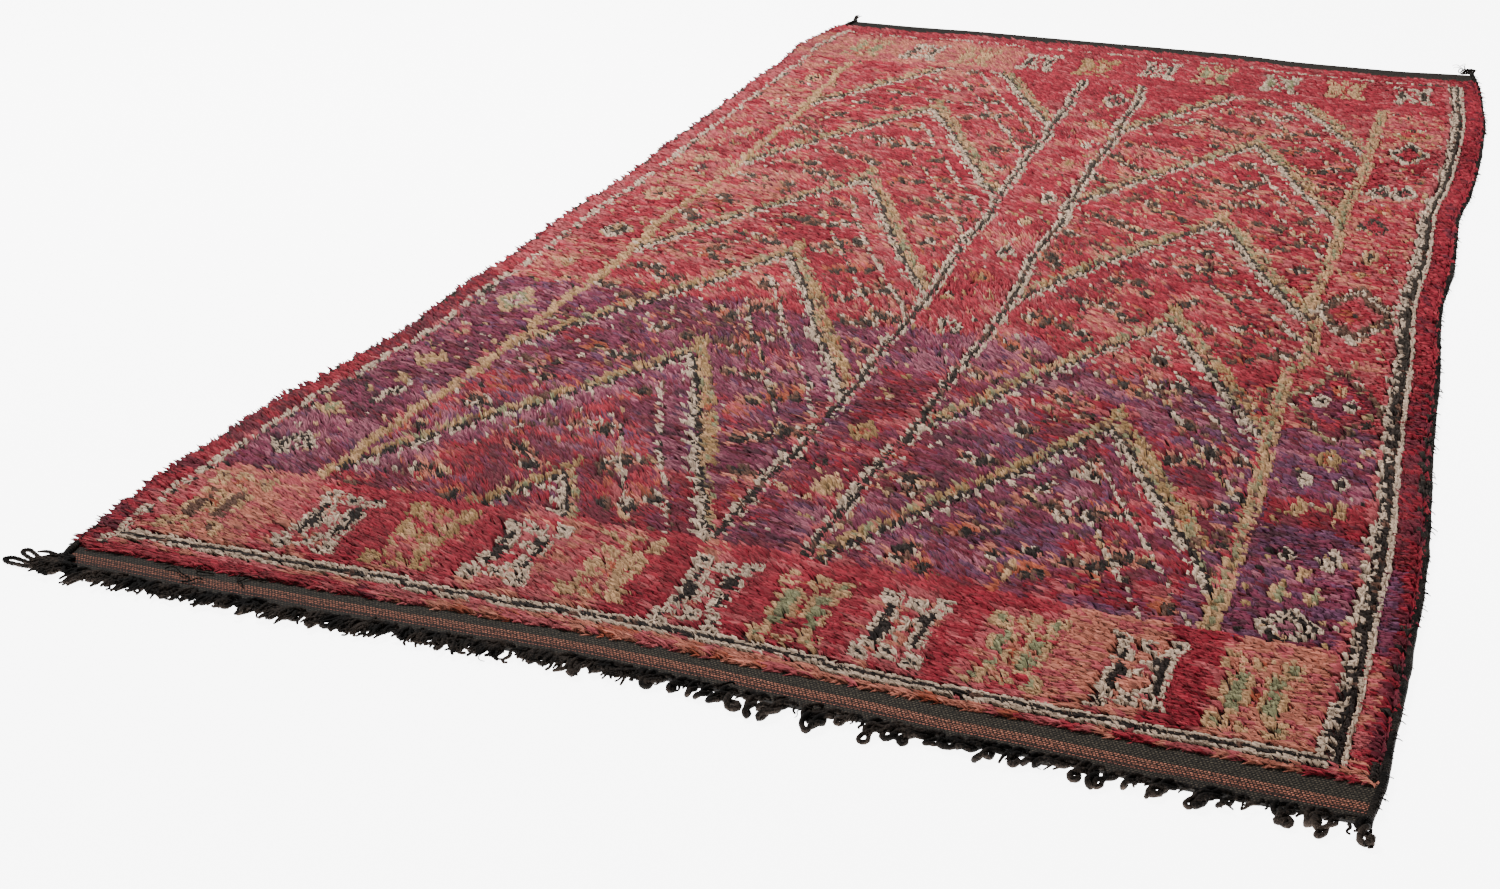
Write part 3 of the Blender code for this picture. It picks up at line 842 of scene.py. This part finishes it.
hand_spun_wool = wool_material()
for number in range(PILE_STRIPS):
    first, last = COLUMNS * number // PILE_STRIPS, COLUMNS * (number + 1) // PILE_STRIPS
    here = np.flatnonzero(within(tuft_column, first, last))
    cell = np.arange(len(here))
    faces = (cell[:, None, None] * 4 + TUFT_FACES).reshape(-1, 3)
    strip = mesh_piece(f"pile_{number + 1}", places[here], faces, hand_spun_wool)
    strip.data.normals_split_custom_set_from_vertices(soft[here].reshape(-1, 3).astype(np.float32))
    rgba = np.concatenate([shaded[here], np.ones((len(here), 4, 1))], 2).astype(np.float32)
    strip.data.attributes.new("wool", "FLOAT_COLOR", "POINT").data.foreach_set("color", rgba.ravel())
    # one cell of the bake's map for each tuft, in the order of the rows
    cells_across = math.ceil(math.sqrt(len(here) * 1.3))
    cells_along = math.ceil(len(here) / cells_across)
    in_cell = np.array([[0.5, 0.06], [0.08, 0.6], [0.92, 0.6], [0.5, 0.94]])
    cell_u = (cell % cells_across)[:, None] + in_cell[:, 0]
    cell_v = (cell // cells_across)[:, None] + in_cell[:, 1]
    bake_uv = np.stack([cell_u / cells_across, cell_v / cells_along], 2).reshape(-1, 2)
    width_mm, length_mm = half[here] * 2000, np.hypot(reach[here], rise[here]) * 1000
    strand_u = in_cell[:, 0] * width_mm[:, None] + random.uniform(0, 900, (len(here), 1))
    strand_v = in_cell[:, 1] * length_mm[:, None] + random.uniform(0, 900, (len(here), 1))
    strand_uv = np.stack([strand_u, strand_v], 2).reshape(-1, 2)
    for map_name, uv in (("strand", strand_uv), ("OFBake", bake_uv)):
        layer = strip.data.uv_layers.new(name=map_name)
        layer.uv.foreach_set("vector", uv[faces.ravel()].astype(np.float32).ravel())
    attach(strip, "root")
    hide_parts("rug_body")

# ------------------------------
# The two long edges: the outer warps, wrapped round and round with black-brown goat hair as the
# weaver went up the loom. The cords are wiry, a little lumpy and dull.
SELVEDGE_RADIUS = 0.0056
WRAP_PITCH = 0.0045
SELVEDGE_TURN = 0.009  # the wrapping runs on a little past the cloth
LOOSE_HAIRS = 240  # on each edge


def run_of(path):
    """How far along a path each of its points is, and its directions there."""
    run = np.concatenate([[0], np.cumsum(np.linalg.norm(np.diff(path, axis=0), axis=1))])
    forward = np.gradient(path, axis=0)
    return run, forward / np.linalg.norm(forward, axis=1)[:, None]


def yarn(path, radius, sides=7):
    """A closed tube along a path. Returns its places, faces and map, in turns and metres."""
    path = np.asarray(path, float)
    radius = np.broadcast_to(radius, len(path))
    run, forward = run_of(path)
    side = np.cross(forward[0], (0.0, 0.0, 1.0))
    sides_at = []
    for direction in forward:
        side = side - direction * side.dot(direction)
        side = side / np.linalg.norm(side)
        sides_at.append(side)
    sides_at = np.array(sides_at)
    ups = np.cross(forward, sides_at)
    turn = np.arange(sides) / sides * 2 * math.pi
    rings = path[:, None] + radius[:, None, None] * (
        np.cos(turn)[:, None] * sides_at[:, None] + np.sin(turn)[:, None] * ups[:, None]
    )
    cap = np.array([path[0] - forward[0] * radius[0] * 0.4, path[-1] + forward[-1] * radius[-1] * 0.4])
    places = np.concatenate([rings.reshape(-1, 3), cap])
    at, j = np.mgrid[0 : len(path) - 1, 0:sides]
    a, b = at * sides + j, at * sides + (j + 1) % sides
    faces = np.stack([a, b, b + sides, a, b + sides, a + sides], 2).reshape(-1, 3)
    u = np.stack([j, j + 1, j + 1, j, j + 1, j], 2) / sides
    v = run[np.stack([at, at, at + 1, at, at + 1, at + 1], 2)]
    first_cap = np.stack([np.full(sides, len(places) - 2), b[0], a[0]], 1)
    last_cap = np.stack([np.full(sides, len(places) - 1), a[-1] + sides, b[-1] + sides], 1)
    cap_uv = np.full((6 * sides, 2), (0.5, 0.0))
    uv = np.concatenate([np.stack([u.ravel(), v.ravel()], 1), cap_uv])
    return places, np.concatenate([faces, first_cap, last_cap]), uv


def yarn_piece(name, yarns, material, node):
    """One piece from many yarns, standing for a node of the frame."""
    places, faces, uv, shift = [], [], [], 0
    for one_places, one_faces, one_uv in yarns:
        places.append(one_places)
        faces.append(one_faces + shift)
        uv.append(one_uv)
        shift += len(one_places)
    piece = mesh_piece(name, np.concatenate(places), np.concatenate(faces), material)
    piece.data.uv_layers.new(name="yarn").uv.foreach_set("vector", np.concatenate(uv).astype(np.float32).ravel())
    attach(piece, "root")
    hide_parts(node)
    return piece


def dark_yarn_material(name, dark, light, turns, slant, relief):
    """Undyed dark hair or wool, hard spun: ridges of yarn wound round, with paler fibres that
    stand out of them. Dull, with a slight shine along the ridges."""
    material, tree, shader = new_material(name)
    wound = add(tree, "UVMap", uv_map="yarn")
    split = add(tree, "SeparateXYZ", wound)
    ahead = add(tree, "Math MULTIPLY", split.outputs["Y"], turns)
    spiral = add(tree, "Math MULTIPLY_ADD", split.outputs["X"], slant, ahead)
    ridge = add(tree, "Math PINGPONG", spiral, 0.5)
    place = add(tree, "TexCoord").outputs["Object"]
    hairs = add(tree, "TexNoise", Scale=420.0, Detail=3.0, Vector=place)
    blotch = add(tree, "TexNoise", Scale=30.0, Detail=1.0, Vector=place)
    mottle = add(tree, "Math MULTIPLY", hairs, blotch)
    pale = add(tree, "MapRange", mottle, 0.20, 0.42)
    colour = add(tree, "Mix", pale, data_type="RGBA", A_Color=linear(dark), B_Color=linear(light))
    height = add(tree, "Math MULTIPLY_ADD", hairs, 0.5, ridge)
    bump = add(tree, "Bump", Strength=0.9, Distance=relief, Height=height)
    add(tree, shader, Base_Color=colour, Normal=bump, Roughness=0.9, Specular_IOR_Level=0.1)
    return material


goat_hair = dark_yarn_material("goat_hair", "#0b0908", "#332d28", 1 / WRAP_PITCH, 1.0, 0.002)
random = np.random.default_rng(31)
for side, sign in (("left", -1), ("right", 1)):
    past_cloth = SELVEDGE_TURN * 0.8
    y = np.linspace(edge_line[side][0, 1] - past_cloth, edge_line[side][-1, 1] + past_cloth, 330)
    lumps = 1 + 0.10 * cloudy(y, y * 0, 0.02, 33 + sign) + random.normal(0, 0.03, len(y))
    x = edge_x(side, y) + sign * (SELVEDGE_RADIUS - 0.0022) + 0.0008 * cloudy(y, y * 0, 0.05, 35)
    z = SELVEDGE_RADIUS * lumps + 0.0002
    wrapped = [yarn(np.stack([x, y, z], 1), SELVEDGE_RADIUS * lumps * 0.97, sides=8)]
    for number in range(LOOSE_HAIRS):
        at = random.integers(3, len(y) - 3)
        start = np.array([x[at], y[at], SELVEDGE_RADIUS + 0.002])
        over = np.array([sign * random.uniform(0.3, 1.0), random.uniform(-1.0, 0.4), 0.0])
        over = over * random.uniform(0.008, 0.014)
        arch = np.array([0, 0, 0.003]) * np.sin(np.linspace(0.4, 2.9, 4))[:, None]
        hair = start + over * np.linspace(0, 1, 4)[:, None] + arch
        wrapped.append(yarn(hair, 0.0016 * np.linspace(1, 0.4, 4), sides=3))
    yarn_piece(f"overcast_{side}", wrapped, goat_hair, f"selvedge_{side}")

# ------------------------------
# The near fringe: the ends of the warps, twisted back on themselves in short thick loops. They
# hang free on the right half and are trodden into a dark mat on the left.
LOOPS = 92
LOOP_LENGTH = 0.037
PLY_RADIUS = 0.0033
LOOSE_THREADS, MAT_THREADS = 560, 340  # of them in the mat
CORNER_THREADS = 44
THREAD_RADII = np.linspace(0.0011, 0.0005, 14)
FLOOR_GAP = 0.0003


def twisted_loop(root, heading, length, radius, eye, turns, bend):
    """The path of a yarn that goes out, turns back in a small eye, and is twisted round itself."""
    steps = 11
    out = np.linspace(0, 1, steps)
    angle = heading + bend * out
    step = length / (steps - 1)
    centre = np.stack([np.cumsum(np.cos(angle)) * step, np.cumsum(np.sin(angle)) * step], 1)
    centre = root[:2] + centre - centre[0]
    ahead = np.stack([np.cos(angle), np.sin(angle), np.zeros(steps)], 1)
    beside = np.stack([-np.sin(angle), np.cos(angle), np.zeros(steps)], 1)
    spread = radius * (1.1 + (eye - 1.1) * out**4)
    phase = turns * 2 * math.pi * out * (1 - 0.15 * out)
    offset = spread[:, None] * (np.cos(phase)[:, None] * beside + np.sin(phase)[:, None] * (0, 0, 0.8))
    middle = np.column_stack([centre, root[2] + 0.0012 * np.sin(out * math.pi)])
    bow = [
        middle[-1] + offset[-1] * math.cos(a) + ahead[-1] * radius * eye * 1.3 * math.sin(a)
        for a in (math.pi * 0.2, math.pi * 0.4, math.pi * 0.6, math.pi * 0.8)
    ]
    return np.concatenate([middle + offset, bow, (middle - offset)[::-1]])


def stray(root, heading, length, curl, rise, steps=14):
    """The path of a loose thread that curls as it goes."""
    out = np.linspace(0, 1, steps)
    angle = heading + curl * np.sin(out * 5.0 + heading * 3) * out + curl * 0.5 * out
    step = length / (steps - 1)
    x = root[0] + np.cumsum(np.cos(angle)) * step
    y = root[1] + np.cumsum(np.sin(angle)) * step
    z = root[2] + rise * np.sin(out * math.pi * 0.8)
    return np.stack([x, y, z], 1)


def kept_clear(path, y=-9.0, z=0.0):
    """The path, with none of it nearer than y or lower than z."""
    return np.maximum(path, (-9.0, y, z))


def add_thread(root, degrees, length, curl, rise, radii, sides=5, y=-9.0, z=0.0):
    path = stray(root, math.radians(degrees), length, curl, rise, len(radii))
    fringe.append(yarn(kept_clear(path, y, z), radii, sides))


random = np.random.default_rng(37)
warp_yarn = dark_yarn_material("twisted_warp", "#0a0807", "#3a312b", 150.0, 2.0, 0.0012)
fringe = []
fringe_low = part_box("fringe_near")[0].y
for number in range(LOOPS):
    across = (number + 0.5 + random.uniform(-0.45, 0.45)) / LOOPS
    x, y = on_rug(across, 0.0)
    free = float(np.interp(across, [0, 0.3, 0.46, 0.56, 1.0], [0.62, 0.62, 0.80, 1.15, 1.20]))
    length = LOOP_LENGTH * free * random.uniform(0.5, 1.1)
    heading = math.radians(-112 + random.uniform(-42, 38))
    radius = PLY_RADIUS * random.uniform(0.75, 1.15)
    path = twisted_loop(
        (x, y + 0.006, radius * 1.5 + FLOOR_GAP), heading, length, radius, random.uniform(1.2, 2.1),
        random.uniform(0.7, 1.2) * max(free, 0.5), random.uniform(-0.8, 0.8),
    )
    path = kept_clear(path, fringe_low + radius, radius * 1.25 + FLOOR_GAP)
    fringe.append(yarn(path, radius * np.interp(np.linspace(0, 1, len(path)), [0, 0.5, 1], [0.9, 1.15, 0.9])))
for number in range(LOOSE_THREADS):
    across = random.uniform(0, 0.52) if number < MAT_THREADS else random.uniform(0, 1)
    x, y = on_rug(across, 0.0)
    root = (x, y + random.uniform(-0.003, 0.010), random.uniform(0.0025, 0.0075))
    matted = across < 0.5
    degrees = random.uniform(-165, -60) if matted else random.uniform(-170, -10)
    length = random.uniform(0.018, 0.034) if matted else random.uniform(0.012, 0.028)
    curl, rise = random.uniform(-1.8, 1.8), random.uniform(0, 0.004)
    radius = random.uniform(0.0020, 0.0036) if matted else random.uniform(0.0014, 0.0028)
    radii = radius * np.linspace(1.1, 0.6, 8)
    add_thread(root, degrees, length, curl, rise, radii, y=fringe_low + 0.002, z=radius * 1.2 + FLOOR_GAP)
for across, degrees, length, curl in (
    (0.375, -80, 0.045, 1.4), (0.405, -70, 0.030, 2.5), (0.412, -110, 0.022, -2.0), (0.180, -60, 0.030, 2.0),
    (0.33, -100, 0.020, 1.5), (0.785, -75, 0.030, 1.0), (0.62, -95, 0.026, -1.5), (0.95, -80, 0.030, 1.2),
):
    add_thread((*on_rug(across, 0.0), 0.004), degrees, length, curl, 0.004, THREAD_RADII, y=fringe_low + 0.001)
# long threads that lie on the flatweave near the left corner
for across, up, degrees, length, curl in (
    (0.115, 0.030, 160, 0.050, 1.2), (0.130, 0.052, 190, 0.045, -1.6), (0.150, 0.045, 20, 0.040, 2.0),
    (0.160, 0.030, 120, 0.035, 1.0), (0.108, 0.018, 30, 0.030, -2.0),
):
    add_thread((*on_rug(across, up / RUG_LENGTH), 0.0062), degrees, length, curl, 0.003, np.full(14, 0.0010))
# the corner itself is matted with loose hair
x, y = on_rug(0.0, 0.0)
for number in range(CORNER_THREADS):
    root = (x + random.uniform(-0.010, 0.016), y + random.uniform(-0.006, 0.030), random.uniform(0.003, 0.008))
    degrees, length, curl = random.uniform(165, 240), random.uniform(0.016, 0.040), random.uniform(-1, 1)
    radii = random.uniform(0.0022, 0.0034) * np.linspace(1.1, 0.5, 8)
    add_thread(root, degrees, length, curl, 0.002, radii, z=0.0045)
# a thick dark bunch beside the left corner
x, y = on_rug(0.032, 0.0)
for number in range(9):
    root = (x + random.uniform(-0.006, 0.006), y + 0.003, random.uniform(0.003, 0.008))
    degrees, length = -108 + random.uniform(-14, 14), random.uniform(0.030, 0.042)
    radii = 0.0024 * np.linspace(1.1, 0.6, 10)
    add_thread(root, degrees, length, random.uniform(-0.8, 0.8), 0.002, radii, sides=6, y=fringe_low + 0.003)
near_fringe = yarn_piece("near_fringe", fringe, warp_yarn, "fringe_near")

# ------------------------------
# Loose yarn at the four corners, left when the rug came off the loom: two doubled loops at the
# near left, a knotted cord at the near right, a pointed tuft and a curled bunch at the far end.
LOOP_YARN_RADIUS = 0.0030
CORD_RADIUS = 0.0030
CORD_TURNS = 70  # a metre
# the yarns' paths: shares of the node's box across and along, and height in metres
UPPER_LOOP = (
    (1.0, 0.20, 0.0040), (0.90, 0.26, 0.0042), (0.55, 0.52, 0.0040), (0.22, 0.86, 0.0030), (0.08, 0.88, 0.0026),
    (0.05, 0.68, 0.0026), (0.20, 0.48, 0.0028), (0.55, 0.22, 0.0036), (0.90, 0.10, 0.0030),
)
LOWER_LOOP = (
    (1.0, 0.45, 0.0036), (0.85, 0.48, 0.0036), (0.50, 0.66, 0.0030), (0.18, 0.86, 0.0026), (0.06, 0.66, 0.0026),
    (0.05, 0.40, 0.0026), (0.20, 0.16, 0.0026), (0.55, 0.12, 0.0028), (0.92, 0.18, 0.0030),
)
KNOTTED_CORD = (
    (0.35, 1.0, 0.0050), (0.35, 0.75, 0.0046), (0.42, 0.52, 0.0042), (0.60, 0.42, 0.0050), (0.72, 0.26, 0.0066),
    (0.42, 0.18, 0.0092), (0.28, 0.34, 0.0080), (0.52, 0.42, 0.0048), (0.66, 0.24, 0.0040), (0.55, 0.06, 0.0032),
)


def rounded(node, places, steps):
    """A smooth path through a few places in a node's box."""
    low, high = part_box(node)
    points = np.array([(low.x + (high.x - low.x) * u, low.y + (high.y - low.y) * v, z) for u, v, z in places])
    ends = np.vstack([2 * points[0] - points[1], points, 2 * points[-1] - points[-2]])
    path = []
    for at in range(1, len(ends) - 2):
        a, b, c, d = ends[at - 1 : at + 3]
        bend, twist = 2 * a - 5 * b + 4 * c - d, 3 * b - a - 3 * c + d
        for t in np.linspace(0, 1, steps, endpoint=at == len(ends) - 3):
            path.append(0.5 * (2 * b + (c - a) * t + bend * t**2 + twist * t**3))
    return np.array(path)


def plied(path, radius, turns_a_metre):
    """Two strands twisted together along a path."""
    run, forward = run_of(path)
    side = np.cross(forward, (0.0, 0.0, 1.0))
    side /= np.linalg.norm(side, axis=1)[:, None]
    up = np.cross(side, forward)
    strands = []
    for start in (0, math.pi):
        angle = start + run * turns_a_metre * 2 * math.pi
        offset = radius * 0.5 * (np.cos(angle)[:, None] * side + np.sin(angle)[:, None] * up)
        strands.append(yarn(path + offset, radius * 0.56, sides=5))
    return strands


for name, places in (("loop_near_left_upper", UPPER_LOOP), ("loop_near_left_lower", LOWER_LOOP)):
    path = kept_clear(rounded(name, places, 8), z=0.0038)
    lumps = LOOP_YARN_RADIUS * (1 + 0.14 * np.sin(np.arange(len(path)) * 1.9))
    yarn_piece(f"{name}_yarn", [yarn(path, lumps)], warp_yarn, name)

knotted = plied(rounded("knot_near_right", KNOTTED_CORD, 6), CORD_RADIUS, CORD_TURNS)
low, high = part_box("knot_near_right")
for number in range(7):
    heading = math.radians(-90 + random.uniform(-50, 50))
    path = stray((low.x + 0.006, low.y + 0.006, 0.004), heading, 0.006, 0.8, 0.001, 5)
    knotted.append(yarn(path, 0.0007, sides=4))
yarn_piece("knot_near_right_cord", knotted, warp_yarn, "knot_near_right")

low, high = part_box("tassel_far_left")
pointed = []
for number in range(16):
    start = (high.x - 0.009 + random.normal(0, 0.003), low.y + 0.002, random.uniform(0.003, 0.010))
    tip = Vector((low.x + random.uniform(0.0, 0.012), high.y - random.uniform(0, 0.020)))
    over, up = tip.x - start[0], tip.y - start[1]
    curl, rise = random.uniform(-0.35, 0.35), random.uniform(-0.001, 0.004)
    path = kept_clear(stray(start, math.atan2(up, over), math.hypot(up, over), curl, rise, 9), z=0.0018)
    pointed.append(yarn(path, 0.0019 * np.linspace(1.1, 0.35, 9), sides=5))
yarn_piece("tassel_far_left_yarns", pointed, warp_yarn, "tassel_far_left")

low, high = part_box("tassel_far_right")
curled = []
for number in range(12):
    x = low.x + (high.x - low.x) * random.uniform(0.35, 0.85)
    y = low.y + (high.y - low.y) * random.uniform(0.35, 0.8)
    start, size = random.uniform(0, 6.28), random.uniform(0.004, 0.0075)
    sweep = np.linspace(0, random.uniform(3.5, 7.5), 14)
    height = 0.008 + 0.005 * np.sin(sweep * 1.3 + start)
    path = np.stack([x + size * 1.7 * np.cos(start + sweep), y + size * np.sin(start + sweep), height], 1)
    curled.append(yarn(path, 0.0013, sides=5))
for heading, length, curl, rise in (
    (150, 0.035, 1.0, 0.010), (120, 0.030, -1.2, 0.012), (170, 0.030, 0.8, 0.006), (100, 0.022, 1.5, 0.010),
):
    path = stray((low.x + 0.024, high.y - 0.012, 0.010), math.radians(heading), length, curl, rise)
    path[:, 1] = np.minimum(path[:, 1], high.y + 0.02)
    curled.append(yarn(path, THREAD_RADII, sides=5))
yarn_piece("tassel_far_right_yarns", curled, warp_yarn, "tassel_far_right")

# ------------------------------
# The studio: a wide pale floor that glows a little, a dim white room and one large soft lamp over
# the left side.
WHITE = (1, 1, 1, 1)
FLOOR_GREY = (0.95, 0.95, 0.95, 1)
FLOOR_SIZE = 90
FLOOR_GLOW = 7.0
ROOM_LIGHT = 0.38
LAMP_PLACE = Vector((-2.2, 0.6, 3.5))
LAMP_SIZE = 1.8
LAMP_WATTS = 305

bpy.ops.object.select_all(action="DESELECT")
bpy.ops.mesh.primitive_plane_add(size=FLOOR_SIZE, location=(0, 0, 0))
floor = bpy.context.object
floor.name = "floor"
floor_material, tree, shader = new_material("pale_floor")
add(tree, shader, Base_Color=FLOOR_GREY, Roughness=0.7, Emission_Color=WHITE, Emission_Strength=FLOOR_GLOW)
floor.data.materials.append(floor_material)

world = bpy.data.worlds.new("studio")
bpy.context.scene.world = world
world.use_nodes = True
add(world.node_tree, world.node_tree.nodes["Background"], Color=WHITE, Strength=ROOM_LIGHT)

lamp = bpy.data.objects.new("key", bpy.data.lights.new("key", "AREA"))
lamp.data.size = LAMP_SIZE
lamp.data.energy = LAMP_WATTS
lamp.location = LAMP_PLACE
lamp.rotation_euler = (-LAMP_PLACE).to_track_quat("-Z", "Y").to_euler()
bpy.context.scene.collection.objects.link(lamp)
